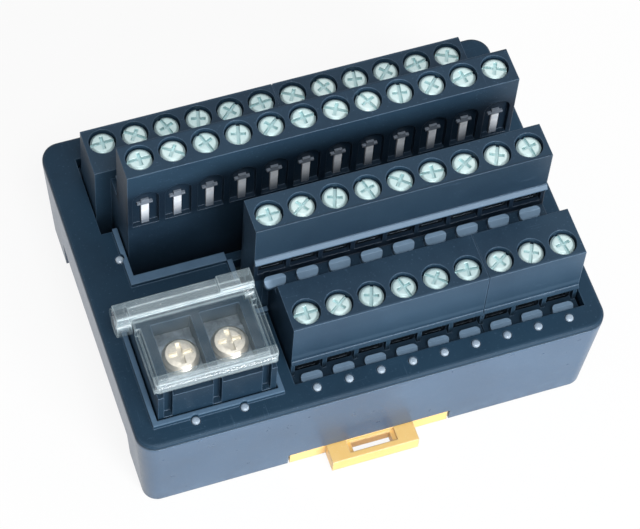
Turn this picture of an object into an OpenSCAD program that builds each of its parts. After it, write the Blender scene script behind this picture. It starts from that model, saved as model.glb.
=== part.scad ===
// DIN-rail terminal unit: two double-deck screw terminal blocks stand back to back on a
// shallow case, with a two-pole power terminal under a clear hinged cover.
// X runs along the terminal rows, Y to the back, Z up.
// The origin is the middle of the face that seats on the 35 mm rail.

/* [Case] */
// Width of the case along the rows
case_w = 74.7; // [74:0.1:90]
// Depth of the case, front to back
case_d = 55.9; // [55.4:0.1:66]
// Height from the underside to the top of the cover plate
case_h = 20.3; // [19:0.1:24]
// Radius of the upright corners
corner_r = 3; // [2.4:0.1:4.5]
// How far each wall leans in towards the underside
draft = 1.2; // [0.4:0.1:1.5]
// Thickness of the lower case's walls
wall_t = 1.8; // [1.4:0.1:2.1]
// Thickness of the floor above the rail
floor_t = 2; // [1.6:0.1:2.4]
// Thickness of the top plate
lid_t = 2.2; // [1.8:0.1:2.8]
// Part of the top plate that shows above the wall
lid_edge = 1; // [0.8:0.1:1.4]
// Rounding of the top plate's outer edge
lid_round = 0.6; // [0.2:0.1:0.8]
// Height of the small bead around each window
bead_h = 0.8; // [0.4:0.1:1]
// Width of the bead around each window
bead_w = 0.8; // [0.5:0.1:0.9]
// Width of the bar of plate between the two middle pits
bridge_w = 1.5; // [1:0.1:2]

/* [Rail] */
// Width of the mounting rail over its flanges
rail_w = 35; // [34.8:0.1:35.4]
// Thickness of the rail's flange
rail_flange = 1; // [0.8:0.1:1.3]
// Height of the rail channel under the seat
rail_recess = 6; // [5.8:0.1:7]
// How far the hooks reach under the rail's flange
hook_reach = 1.5; // [1:0.1:2]
// Thickness of the fixed hooks
hook_t = 2; // [1.4:0.1:2.6]
// Length of each fixed hook
hook_len = 14; // [8:1:20]
// Distance of each fixed hook from the middle
hook_x = 20; // [14:1:24]

/* [Terminal rows] */
// Distance between neighbouring terminals
pitch = 5.08; // [5:0.01:5.2]
// Most terminals in each rear row
rear_most = 12; // [6:1:12]
// Most terminals in each front row
front_most = 9; // [5:1:9]
// Least width of plate at the right end of the rows
row_margin = 2; // [1.8:0.05:2.2]
// Left edge of the case to the first rear lower screw
first_x = 8.05; // [7:0.05:9]
// Step between the first rear lower screw and the first front upper screw
front_shift = 17.78; // [17.6:0.02:18.4]
// Outer edge of the case to the lower row's screws
row_lower = 9.34; // [9:0.02:9.6]
// Outer edge of the case to the upper row's screws
row_upper = 20.65; // [20.5:0.05:21.2]
// Height of the lower deck above the top plate
deck_lower = 11.7; // [11:0.1:12.6]
// Height of the upper deck above the top plate
deck_upper = 23; // [22:0.1:25]

/* [Terminal block] */
// Front wall to the screw axis
screw_front = 2.65; // [2.6:0.05:2.9]
// Screw axis to the inboard face of the upper deck
screw_back = 3.1; // [3:0.05:3.2]
// Extra thickness of the end walls
end_wall = 0.28; // [0.1:0.02:0.5]
// Width of each clamp chamber
chamber_w = 4.1; // [4:0.05:4.3]
// Screw axis to the chamber's front and back
chamber_half = 1.95; // [1.9:0.01:2]
// Depth of the chamber's ceiling under the upper deck
chamber_top = 3.4; // [3:0.1:3.8]
// Depth of the chamber's floor under the upper deck
chamber_floor = 12.8; // [12.7:0.1:13]
// Lower edge of the wire entry under the upper deck
entry_low = 12.4; // [12.2:0.1:12.6]
// Height of the wire entry
entry_h = 3.5; // [3.2:0.1:3.7]
// Width of the wire entry
entry_w = 4.4; // [4.2:0.1:4.6]
// How much deeper everything lies under the lower deck
lower_sink = 1.6; // [1.2:0.1:1.7]
// Depth of the channel in front of the upper wire entries
channel_depth = 2.4; // [1.8:0.1:2.8]
// Width of that channel
channel_w = 3.3; // [3:0.1:3.5]
// How far the ledge over the upper wire entries stands out
ledge_out = 0.6; // [0.3:0.1:0.9]
// Height of the ledge
ledge_h = 0.9; // [0.5:0.1:1.2]
// How far the foot stands out in front of the lower wall
foot_out = 2.4; // [2.3:0.1:2.5]
// Depth of the foot's top under the top plate
foot_sink = 2.3; // [2:0.1:2.5]
// Width of the wire guides on the channel and the foot
guide_w = 3.4; // [3:0.1:3.8]
// Depth of the wire guides
guide_d = 1.5; // [1.3:0.1:1.6]
// Height of the wire guides
guide_h = 1.6; // [1.4:0.1:1.7]
// Face of the block to the middle of the guides
guide_y = 1.6; // [1.5:0.05:1.65]
// Width of the pillars between the inboard arches
pillar_w = 1; // [0.8:0.1:1.4]
// Depth of the arches, one at each inboard strip
arch_depth = 0.8; // [0.75:0.05:0.85]
// Top of the arches above the top plate
arch_top = 18; // [17.5:0.1:18.5]
// Sill of the arches above the top plate
arch_sill = 9; // [8:0.1:9.5]

/* [Screws and clamps] */
// Radius of the terminal screws' heads
head_r = 1.9; // [1.7:0.05:2]
// Height of the heads
head_h = 1.5; // [1.2:0.1:1.6]
// Radius of the shanks
shank_r = 1.2; // [1.1:0.05:1.25]
// Length of the shanks
shank_l = 5.8; // [5:0.1:6]
// Depth of the heads' tops under the deck
head_sink = 0.35; // [0.1:0.05:0.5]
// Width of the driver slot
slot_w = 0.55; // [0.45:0.05:0.7]
// Width of each clamp cage
cage_w = 3.8; // [3.6:0.05:3.8]
// Depth of each clamp cage
cage_d = 3.6; // [3.4:0.05:3.7]
// Thickness of the cage's sides and bottom
cage_t = 0.5; // [0.4:0.05:0.6]
// Thickness of the cage's threaded top
cage_top_t = 1.5; // [1.2:0.1:1.8]
// Height of each cage
cage_h = 6.3; // [6:0.1:6.4]
// Thickness of the contact strips
strip_t = 0.4; // [0.35:0.05:0.5]
// Width of the strips inside the cages
strip_w = 2.4; // [2:0.1:2.6]
// Width of the strips' legs
leg_w = 1.2; // [1:0.1:1.4]
// How far the inboard strips stand above their bars
strip_up = 0.7; // [0.3:0.1:1]

/* [Circuit board] */
// Thickness of the board
board_t = 1.6; // [1:0.1:2]
// Height of the board's pillars above the case floor
board_lift = 3; // [2.6:0.1:3.6]
// Length of the legs under the board
tail_l = 1.2; // [0.8:0.1:1.6]
// Side walls to the board's screws
board_screw_in = 4.5; // [4.3:0.1:4.8]

/* [Power terminal] */
// Left edge of the case to the power terminal's middle
power_x = 13.15; // [13:0.05:13.3]
// Distance between the two power screws
power_pitch = 7.62; // [7.5:0.02:7.8]
// Width of the power terminal's body
power_w = 18.4; // [18.2:0.1:18.6]
// Front edge of the case to the power terminal's face
power_front = 4.1; // [3.9:0.1:4.3]
// Front edge of the case to the power screws
power_screw_y = 10.4; // [10:0.1:10.8]
// Height of the bays' floor above the top plate
bay_floor = 4; // [3.6:0.1:4.2]
// Height of the front apron above the top plate
apron_h = 7; // [6:0.1:7.2]
// Height of the barriers above the top plate
barrier_h = 8.1; // [7.8:0.1:8.2]
// Thickness of the barriers
barrier_t = 1.5; // [1.4:0.05:1.6]
// Width of the slots in the front face
face_slot = 1.3; // [1:0.1:1.4]
// Radius of the power screws' heads
power_head_r = 2.8; // [2.6:0.05:2.9]
// Radius of the power screws' shanks
power_shank_r = 1.5; // [1.4:0.05:1.6]
// Thickness of the power terminal plates
power_plate_t = 0.8; // [0.6:0.1:1]

/* [Cover] */
// Width of the clear cover
cover_w = 19; // [19:0.1:19.1]
// Thickness of the cover's plate
cover_t = 1.5; // [1.2:0.1:1.8]
// Height of the cover's underside above the top plate
cover_z = 8.9; // [8.8:0.1:9.2]
// Depth of the thick front lip
lip_d = 1.9; // [1.4:0.1:2.2]
// How far the lip hangs under the plate
lip_drop = 0.5; // [0.3:0.1:0.6]
// Front edge of the case to the hinge axis
hinge_y = 18.3; // [18.2:0.1:18.4]
// Height of the hinge axis above the top plate
hinge_z = 7; // [6.9:0.1:7.1]
// Radius of the hinge stubs
stub_r = 1; // [0.8:0.05:1.1]
// Outer radius of the hinge ears
ear_r = 2.3; // [2.1:0.1:2.4]
// Width of the left ear
ear_w = 2.3; // [1.8:0.1:2.4]

/* [Rail clip] */
// Width of the clip's front bar
clip_w = 26; // [24:0.5:28]
// Thickness of the clip
clip_t = 2.6; // [2.2:0.1:2.8]
// Depth of the clip's front bar
clip_bar_d = 2.2; // [1.8:0.1:2.4]
// Width of the clip's body
clip_body_w = 19.6; // [17:0.2:20]
// Width of the pull tab
tab_w = 14.2; // [11:0.2:15]
// How far the tab stands out from the bar
tab_out = 3.3; // [2.8:0.1:4]
// How far the clip slides out to free the rail
clip_travel = 3.5; // [3:0.1:3.5]

/* [Indicators] */
// Outer edge of the case to the indicators
lens_y = 2.6; // [2.5:0.05:2.7]
// Radius of each indicator's tip
lens_r = 0.65; // [0.5:0.05:0.75]
// How far the tips stand above the top plate
lens_up = 0.35; // [0.2:0.05:0.5]
// Left edge of the case to the power indicator at the pit
lamp_x = 6.4; // [6.2:0.1:6.6]
// Middle of the case to that indicator, to the back
lamp_back = 4.45; // [4:0.05:5]

/* [Fits] */
// Gap around pieces that are set into others
fit = 0.25; // [0.15:0.05:0.3]
// Gap between the hinge stubs and their ears
hinge_fit = 0.06; // [0.03:0.01:0.1]
// Gap around the sliding clip
slide_fit = 0.3; // [0.2:0.05:0.35]

/* [Hidden] */
$fn = 40;

base_z = -rail_recess;              // underside of the case
top_z = base_z + case_h;            // top of the plate
wall_top = top_z - lid_edge;        // where the plate's edge sits on the walls
board_z = floor_t + board_lift;     // underside of the board
board_top = board_z + board_t;
board_drop = top_z - board_top;     // board's top under the plate's top
seat_gap = 0.02;
channel_half = rail_w / 2 + 0.3;
seat_half = rail_w / 2 - hook_reach - 0.6;
seat_relief = 0.3;
guide_slope = 50;                   // degrees
guide_slope_from = 0.4;             // of the guide's height
half_w = case_w / 2;
half_d = case_d / 2;

// Terminal rows, measured from the left edge of the case
half_step = pitch / 2;
rear_lower_x = first_x;
rear_upper_x = first_x + half_step;
front_upper_x = first_x + front_shift;
front_lower_x = front_upper_x + half_step;
cell_side = pitch / 2 + end_wall;   // end screw to the end of its deck
row_end = case_w - row_margin - cell_side;
rear_poles = min(rear_most, floor((row_end - rear_upper_x) / pitch) + 1);
front_poles = min(front_most, floor((row_end - front_lower_x) / pitch) + 1);
wall_y = row_lower - screw_front;   // outer face of the lower deck
tower_y = row_upper - screw_front;  // outer face of the upper deck
inboard_y = row_upper + screw_back; // inboard face of the upper deck
foot_y = wall_y - foot_out;
arch_back = inboard_y - arch_depth; // back of the arches, where the inboard strips run
pit_y = half_d - bridge_w / 2;
bar_drop = entry_low - entry_h - strip_t + 0.3; // strip in the cage, under the deck
nut_w = 5.5;
nut_h = 2.4;
power_washer_w = 5.9;
power_washer_t = 0.6;
power_screw_l = 7.8;
power_head_h = 1.9;
cage_bottom = chamber_floor - 0.1;
length_poles = 6;                   // poles in one moulded length
joint_w = 0.14;

// Power terminal
pole_1 = power_x - power_pitch / 2;
power_left = power_x - power_w / 2;
power_right = power_x + power_w / 2;
apron_t = 1.3;
stub_w = 1.3;
rear_r = 1.1;
right_ear_x = power_right - 1.45;
power_back = hinge_y + 1;
side_w = 0.85;
rail_back = 0.8;                    // hinge axis to the back of the cover's rail
rail_d = 2.8;
cover_r = 1.2;                      // the cover's front corners
nose_out = 0.3;
plate_back = power_screw_y + 4.4;
bay_back = plate_back + 0.9;

// Case snaps: two along each side wall, one at the front between the terminals
snap_y = [-6.2, 10];
snap_x = (pole_1 + power_pitch + front_lower_x) / 2 - half_w;
snap_l = 6;
snap_t = 0.9;
snap_arm = 4;
snap_head = 1.6;
snap_barb = 0.5;
snap_low = lid_edge - lid_t - snap_arm;
snap_lean = -draft * snap_low / (wall_top - base_z);
snap_face = -fit - snap_lean;

// Board screws: along the free middle, between the two blocks
board_screw_r = 0.9;
board_head_r = 1.7;
board_head_h = 1.2;
board_bite = 2.4;                   // depth of the screws in their pillars
board_points = [[board_screw_in - half_w, 0.5], [-half_w / 2, -3.4],
    [half_w / 4, 0], [half_w - board_screw_in, 0]];
board_w = case_w - 2 * (wall_t + draft) - 0.2;
board_d = case_d - 2 * (wall_t + draft * 0.45) - 1;

// Clip and lamps
driver_w = 6.4;
driver_d = 1.6;
lip_t = 0.9;                        // ledges that hold the clip's runners
runner_w = clip_body_w + 4.4;
led_w = 1.6;
led_d = 0.8;
led_h = 0.6;
pipe_bar_t = 1.1;
pipe_leg_r = 0.5;
pipe_back = 0.95;                   // each leg stands this far behind its tip

case_tone = [0.44, 0.55, 0.64];
plate_tone = [0.2, 0.29, 0.37];
block_tone = [0.36, 0.46, 0.54];
tin_tone = [0.78, 0.85, 0.86];
pipe_tone = [0.86, 0.93, 0.95];

module slab(w, d, r, h) {
    linear_extrude(h)
        union() {
            square([w - 2 * r, d], center = true);
            square([w, d - 2 * r], center = true);
            for (sx = [-1, 1], sy = [-1, 1])
                translate([sx * (w / 2 - r), sy * (d / 2 - r)]) circle(r, $fn = 48);
        }
}

// Places children by the front left corner of the top plate
module at_plate(x = 0, y = 0, z = 0) {
    translate([x - half_w, y - half_d, top_z + z]) children();
}

// A box given by its low and high corners, from the corner of the plate
module block(x, y, z) {
    at_plate(x[0], y[0], z[0]) cube([x[1] - x[0], y[1] - y[0], z[1] - z[0]]);
}

// The rear block is the front one turned over the middle line
module rear_side() { mirror([0, 1, 0]) children(); }

// ---- Case ----

module case_outer() {
    hull() {
        translate([0, 0, wall_top - 0.5]) slab(case_w, case_d, corner_r, 0.5);
        translate([0, 0, base_z])
            slab(case_w - 2 * draft, case_d - 2 * draft, corner_r - draft / 2, 0.8);
    }
}

module case_inner() {
    inner_w = case_w - 2 * wall_t;
    inner_d = case_d - 2 * wall_t;
    inner_r = corner_r - wall_t;
    lean = draft * (wall_top - floor_t) / (wall_top - base_z);
    hull() {
        translate([0, 0, wall_top]) slab(inner_w, inner_d, inner_r, 1);
        translate([0, 0, floor_t]) slab(inner_w - 2 * lean, inner_d - 2 * lean, inner_r, 0.5);
    }
}

module board_corners() {
    for (p = board_points) translate([p[0], p[1], 0]) children();
}

// Children face outwards along +X, with the wall's inner top edge at x = 0
module snap_places() {
    for (y = snap_y) {
        translate([half_w - wall_t, y, wall_top]) children();
        translate([wall_t - half_w, y, wall_top]) rotate(180) children();
    }
    translate([snap_x, wall_t - half_d, wall_top]) rotate(-90) children();
}

module snap_hook() {
    top = lid_edge - lid_t + 0.3;
    tip = snap_barb - snap_lean;
    rotate([90, 0, 0]) translate([0, 0, -snap_l / 2]) linear_extrude(snap_l)
        polygon([[snap_face - snap_t, top], [snap_face, top], [snap_face, snap_low + snap_head],
            [tip, snap_low + snap_head - 0.2], [tip, snap_low + snap_head - 0.5],
            [snap_face, snap_low], [snap_face - snap_t, snap_low]]);
}

module snap_pocket() {
    translate([snap_face, -snap_l / 2 - fit, snap_low - fit])
        cube([snap_barb + 2 * fit, snap_l + 2 * fit, snap_head + 2 * fit]);
}

module clip_slot() {
    front = -half_d;
    bar_back = front + draft + clip_bar_d + slide_fit;
    jaw_front = -rail_w / 2 - 0.9 - clip_travel - slide_fit;
    channel = -rail_w / 2;
    roof = base_z + clip_t + slide_fit;
    translate([-clip_w / 2 - slide_fit, front - 1, base_z - 1])
        cube([clip_w + 2 * slide_fit, bar_back - front + 1, clip_t + slide_fit + 1]);
    translate([-clip_body_w / 2 - slide_fit, bar_back - 0.1, base_z - 1])
        cube([clip_body_w + 2 * slide_fit, channel - bar_back + 0.2, clip_t + slide_fit + 1]);
    translate([-runner_w / 2 - slide_fit, bar_back - 0.1, base_z + lip_t])
        cube([runner_w + 2 * slide_fit, channel - bar_back + 0.2, roof - base_z - lip_t]);
    translate([-clip_body_w / 2 - slide_fit, jaw_front, base_z])
        cube([clip_body_w + 2 * slide_fit, channel - jaw_front + 0.1,
            rail_recess - rail_flange]);
}

module lower_case() {
    color(case_tone) difference() {
        union() {
            difference() {
                case_outer();
                case_inner();
            }
            board_corners() translate([0, 0, floor_t - 0.5]) cylinder(r = 2.2, h = board_lift + 0.5);
        }
        // rail channel
        translate([-half_w - 1, -channel_half, base_z - 1])
            cube([case_w + 2, 2 * channel_half, rail_recess + 1]);
        // the seat ends short of the hooks
        for (y = [-channel_half, seat_half])
            translate([-half_w - 1, y, base_z - 1])
                cube([case_w + 2, channel_half - seat_half, rail_recess + 1 + seat_relief]);
        clip_slot();
        snap_places() snap_pocket();
        board_corners() translate([0, 0, floor_t - 0.8]) cylinder(r = board_screw_r, h = board_lift + 1);
    }
    color(case_tone)
        for (sx = [-1, 1])
            translate([sx * hook_x - hook_len / 2, rail_w / 2 - hook_reach,
                -rail_flange - 0.3 - hook_t])
                cube([hook_len, hook_reach + 0.4, hook_t]);
}

// Plan of the hole for one double block, as a list of boxes
module window_cut(upper_x, lower_x, poles, z0, z1, grow = 0) {
    g = fit + grow;
    last = (poles - 1) * pitch + cell_side;
    block([lower_x - cell_side - fit, lower_x + last + fit], [foot_y - fit, tower_y + 0.3], [z0, z1]);
    block([upper_x - cell_side - g, upper_x + last + g], [tower_y - g, pit_y + grow], [z0, z1]);
}

module all_windows(z0, z1, grow = 0) {
    window_cut(front_upper_x, front_lower_x, front_poles, z0, z1, grow);
    rear_side() window_cut(rear_upper_x, rear_lower_x, rear_poles, z0, z1, grow);
    g = fit + grow;
    block([power_left - g, power_right + g], [power_front - g, power_back + g], [z0, z1]);
}

module upper_case() {
    edge = lid_edge - lid_round;
    color(plate_tone) difference() {
        union() {
            hull() {
                translate([0, 0, wall_top]) slab(case_w, case_d, corner_r, edge);
                for (a = [30, 60, 90]) {
                    inset = lid_round * (1 - cos(a));
                    translate([0, 0, wall_top + edge + lid_round * sin(a) - 0.1])
                        slab(case_w - 2 * inset, case_d - 2 * inset, corner_r - inset, 0.1);
                }
            }
            translate([0, 0, top_z - lid_t])
                slab(case_w - 2 * (wall_t + fit), case_d - 2 * (wall_t + fit), corner_r - wall_t,
                    lid_t - 0.5);
            snap_places() snap_hook();
            // beads around the windows
            difference() {
                all_windows(-0.5, bead_h, bead_w);
                translate([-half_w, -bridge_w / 2 - 0.01, top_z - 1]) cube([case_w, bridge_w + 0.02, 3]);
            }
            translate([-half_w + rear_upper_x - cell_side - fit - bead_w, -bridge_w / 2, top_z - 0.5])
                cube([front_upper_x - rear_upper_x, bridge_w, bead_h + 0.5]);
        }
        all_windows(-lid_t - 3, bead_h + 1);
        row_tips(front_lower_x, front_poles, pitch) lens_hole();
        rear_side() row_tips(rear_lower_x, rear_poles, pitch) lens_hole();
        row_tips(pole_1, 2, power_pitch) lens_hole();
        at_plate(lamp_x, half_d + lamp_back) lens_hole();
    }
}

module row_tips(x, count, step) {
    for (i = [0 : count - 1]) at_plate(x + i * step, lens_y) children();
}

module lens_hole() {
    translate([0, 0, -lid_t - 1]) cylinder(r = lens_r + 0.08, h = lid_t + 2, $fn = 24);
}

module cross_recess(span, w, h) {
    translate([-span / 2, -w / 2, 0]) cube([span, w, h]);
    translate([-w / 2, -span / 2, 0]) cube([w, span, h]);
}

// ---- Circuit board ----

module circuit_board() {
    color([0.1, 0.3, 0.26]) difference() {
        translate([0, 0, board_z]) slab(board_w, board_d, 1.5, board_t);
        board_corners() translate([0, 0, board_z - 1]) cylinder(r = board_screw_r + 0.3, h = board_t + 2);
        leg_holes(front_upper_x, front_poles, arch_back + strip_t / 2);
        leg_holes(front_lower_x, front_poles, row_lower + chamber_half + strip_t / 2);
        rear_side() {
            leg_holes(rear_upper_x, rear_poles, arch_back + strip_t / 2);
            leg_holes(rear_lower_x, rear_poles, row_lower + chamber_half + strip_t / 2);
        }
        for (i = [0, 1])
            block([pole_1 + i * power_pitch - 1.2, pole_1 + i * power_pitch + 1.2],
                [plate_back - 0.1, plate_back + power_plate_t + 0.1],
                [-board_drop - board_t - 1, -board_drop + 1]);
    }
}

module leg_holes(x, count, y) {
    for (i = [0 : count - 1]) {
        cx = x + i * pitch;
        block([cx - leg_w / 2 - 0.1, cx + leg_w / 2 + 0.1],
            [y - strip_t / 2 - 0.1, y + strip_t / 2 + 0.1],
            [-board_drop - board_t - 1, -board_drop + 1]);
    }
}

module board_screws() {
    color([0.75, 0.77, 0.78]) board_corners() {
        translate([0, 0, board_top + seat_gap]) difference() {
            cylinder(r = board_head_r, h = board_head_h);
            translate([0, 0, board_head_h / 2]) cross_recess(board_head_r, 0.4, board_head_h);
        }
        translate([0, 0, board_z - board_bite])
            cylinder(r = board_screw_r - 0.1, h = board_t + board_bite + 0.1);
    }
}

// ---- Double-deck terminal block, front orientation ----

module chamber(x, y, deck, sink) {
    low = deck - sink;
    block([x - chamber_w / 2, x + chamber_w / 2], [y - chamber_half, y + chamber_half],
        [low - chamber_floor, low - chamber_top]);
    // wire entry through the outer wall
    block([x - entry_w / 2, x + entry_w / 2], [y - screw_front - 1, y - chamber_half + 0.1],
        [low - entry_low, low - entry_low + entry_h]);
    at_plate(x, y, low - chamber_top - 0.1) cylinder(r = shank_r + 0.2, h = chamber_top + sink);
    at_plate(x, y, deck - head_sink - head_h - 0.15)
        cylinder(r = head_r + 0.25, h = head_h + head_sink + 1);
}

module deck_cuts(x, y, deck, poles, sink) {
    for (i = [0 : poles - 1]) chamber(x + i * pitch, y, deck, sink);
}

module ledge(x0, x1, y, z, out) {
    at_plate(x0, y, z) rotate([90, 0, 90]) linear_extrude(x1 - x0)
        polygon([[0.1, 0], [-out, 0], [-out, ledge_h * 0.3], [-out * 0.3, ledge_h], [0.1, ledge_h]]);
}

// Pill-shaped guide, its top sloped towards the wire's side
module guide(x, y, z) {
    r = guide_d / 2;
    at_plate(x, y, z - 0.05) difference() {
        linear_extrude(guide_h) union() {
            square([guide_w - 2 * r, guide_d], center = true);
            for (s = [-1, 1]) translate([s * (guide_w / 2 - r), 0]) circle(r, $fn = 24);
        }
        translate([0, -r, guide_h * guide_slope_from]) rotate([guide_slope, 0, 0])
            translate([-guide_w, -guide_h, 0]) cube([2 * guide_w, 3 * guide_h, guide_h]);
    }
}

module terminal_block(upper_x, lower_x, poles) {
    run = (poles - 1) * pitch;
    lower = [lower_x - cell_side, lower_x + run + cell_side];
    upper = [upper_x - cell_side, upper_x + run + cell_side];
    feet = -board_drop + seat_gap;
    channel_y = tower_y - channel_w;
    low_deck = deck_lower - lower_sink;
    inner = [max(lower[0], upper[0]), min(lower[1], upper[1])];
    difference() {
        union() {
            block(lower, [wall_y, tower_y], [feet, deck_lower]);
            block(lower, [foot_y, wall_y + 0.1], [feet, -foot_sink]);
            block(upper, [tower_y - 0.01, inboard_y], [feet, deck_upper]);
            ledge(upper[0], upper[1], tower_y, deck_upper - entry_low + entry_h, ledge_out);
            ledge(lower[0], lower[1], wall_y, low_deck - entry_low + entry_h, ledge_out / 2);
        }
        // channel over the lower deck, open at both ends
        block([lower[0] - 1, lower[1] + 1], [channel_y, tower_y - 0.005],
            [deck_lower - channel_depth, deck_lower + 1]);
        // half a pitch of the lower deck has no tower beside it
        block([lower[0] - 1, inner[0] - 0.01], [channel_y, tower_y + 0.1], [feet - 1, deck_lower + 1]);
        block([inner[1] + 0.01, lower[1] + 1], [channel_y, tower_y + 0.1], [feet - 1, deck_lower + 1]);
        deck_cuts(lower_x, row_lower, deck_lower, poles, lower_sink);
        deck_cuts(upper_x, row_upper, deck_upper, poles, 0);
        for (i = [0 : poles - 1]) arch(upper_x + i * pitch);
        // shallow joint between the moulded lengths
        joint_x = lower_x + (length_poles - 0.5) * pitch;
        block([joint_x - joint_w / 2, joint_x + joint_w / 2], [foot_y - 1, wall_y + joint_w],
            [feet - 1, deck_lower + 1]);
        block([joint_x - joint_w / 2, joint_x + joint_w / 2], [wall_y, channel_y],
            [deck_lower - joint_w, deck_lower + 1]);
        for (i = [0 : poles - 1]) {
            // slots for the contact strips
            ux = upper_x + i * pitch;
            block([ux - strip_w / 2 - 0.05, ux + strip_w / 2 + 0.05], [row_upper, arch_back + 0.1],
                [deck_upper - bar_drop - 0.05, deck_upper - bar_drop + strip_t + 0.05]);
            block([ux - leg_w / 2 - 0.05, ux + leg_w / 2 + 0.05],
                [arch_back, arch_back + strip_t + 0.05], [feet - 1, arch_sill + 0.1]);
            lx = lower_x + i * pitch;
            block([lx - strip_w / 2 - 0.05, lx + strip_w / 2 + 0.05],
                [row_lower + chamber_half - 0.1, row_lower + chamber_half + strip_t + 0.05],
                [feet - 1, low_deck - bar_drop + strip_t + 0.05]);
        }
    }
    // raised guides under the wire entries
    for (i = [0 : poles - 1]) {
        guide(upper_x + i * pitch, tower_y - guide_y, deck_lower - channel_depth);
        guide(lower_x + i * pitch, wall_y - guide_y, -foot_sink);
    }
}

module arch(x) {
    r = (pitch - pillar_w) / 2;
    at_plate(x, arch_back, arch_sill) {
        translate([-r, 0, 0]) cube([2 * r, arch_depth + 1, arch_top - r - arch_sill]);
        translate([0, 0, arch_top - r - arch_sill])
            rotate([-90, 0, 0]) cylinder(r = r, h = arch_depth + 1);
    }
}

module screw_row(x, y, deck, poles, extra = 0) {
    for (i = [0 : poles - 1])
        at_plate(x + i * pitch, y, deck - head_sink) rotate(35 * i) terminal_screw(shank_l + extra);
}

module terminal_screw(shank) {
    low = -head_h - shank;
    cut = head_h / 2;
    difference() {
        rotate_extrude() polygon([[0, low], [shank_r * 0.7, low], [shank_r, low + shank_r / 3],
            [shank_r, -head_h], [head_r, -head_h], [head_r, -head_r * 0.18],
            [head_r * 0.82, -head_r * 0.03], [head_r * 0.68, 0], [0, 0]]);
        translate([-head_r, -slot_w / 2, -cut]) cube([2 * head_r, slot_w, head_h]);
        translate([-slot_w / 2, -head_r * 0.6, -cut]) cube([slot_w, head_r * 1.2, head_h]);
    }
}

module clamp_row(x, y, deck, poles) {
    for (i = [0 : poles - 1]) at_plate(x + i * pitch, y, deck - cage_bottom) clamp_cage();
}

module clamp_cage() {
    difference() {
        translate([-cage_w / 2, -cage_d / 2, 0]) cube([cage_w, cage_d, cage_h]);
        translate([-cage_w / 2 + cage_t, -cage_d, cage_t])
            cube([cage_w - 2 * cage_t, 2 * cage_d, cage_h - cage_t - cage_top_t]);
        cylinder(r = shank_r + 0.05, h = cage_h + 1);
    }
}

// Upper strips leave through the inboard wall, show in the arches and run down to the board
module upper_contacts(x, poles) {
    bar_z = deck_upper - bar_drop;
    for (i = [0 : poles - 1]) {
        cx = x + i * pitch;
        block([cx - strip_w / 2, cx + strip_w / 2], [row_upper - 1.6, arch_back + strip_t],
            [bar_z, bar_z + strip_t]);
        block([cx - leg_w / 2, cx + leg_w / 2], [arch_back + seat_gap, arch_back + strip_t],
            [-board_drop - board_t - tail_l, bar_z + strip_t + strip_up]);
    }
}

// Lower strips run down behind the chamber, inside the block
module lower_contacts(x, poles) {
    bar_z = deck_lower - lower_sink - bar_drop;
    back = row_lower + chamber_half;
    for (i = [0 : poles - 1]) {
        cx = x + i * pitch;
        block([cx - strip_w / 2, cx + strip_w / 2], [row_lower - 1.6, back + strip_t],
            [bar_z, bar_z + strip_t]);
        block([cx - leg_w / 2, cx + leg_w / 2], [back + seat_gap, back + strip_t],
            [-board_drop - board_t - tail_l, bar_z + 0.1]);
    }
}

module rear_terminal_block() {
    color(block_tone) rear_side() terminal_block(rear_upper_x, rear_lower_x, rear_poles);
}
module front_terminal_block() {
    color(block_tone) terminal_block(front_upper_x, front_lower_x, front_poles);
}
module rear_lower_screws() {
    color(tin_tone) rear_side() screw_row(rear_lower_x, row_lower, deck_lower, rear_poles, lower_sink);
}
module rear_upper_screws() {
    color(tin_tone) rear_side() screw_row(rear_upper_x, row_upper, deck_upper, rear_poles);
}
module front_upper_screws() {
    color(tin_tone) screw_row(front_upper_x, row_upper, deck_upper, front_poles);
}
module front_lower_screws() {
    color(tin_tone) screw_row(front_lower_x, row_lower, deck_lower, front_poles, lower_sink);
}
module rear_lower_clamps() {
    color(tin_tone) rear_side()
        clamp_row(rear_lower_x, row_lower, deck_lower - lower_sink, rear_poles);
}
module rear_upper_clamps() {
    color(tin_tone) rear_side() clamp_row(rear_upper_x, row_upper, deck_upper, rear_poles);
}
module front_upper_clamps() {
    color(tin_tone) clamp_row(front_upper_x, row_upper, deck_upper, front_poles);
}
module front_lower_clamps() {
    color(tin_tone) clamp_row(front_lower_x, row_lower, deck_lower - lower_sink, front_poles);
}
module rear_lower_contacts() {
    color(tin_tone) rear_side() lower_contacts(rear_lower_x, rear_poles);
}
module rear_upper_contacts() {
    color(tin_tone) rear_side() upper_contacts(rear_upper_x, rear_poles);
}
module front_upper_contacts() {
    color(tin_tone) upper_contacts(front_upper_x, front_poles);
}
module front_lower_contacts() {
    color(tin_tone) lower_contacts(front_lower_x, front_poles);
}

// ---- Power terminal ----

module power_poles() {
    for (i = [0, 1]) at_plate(pole_1 + i * power_pitch, power_screw_y) children();
}

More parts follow.
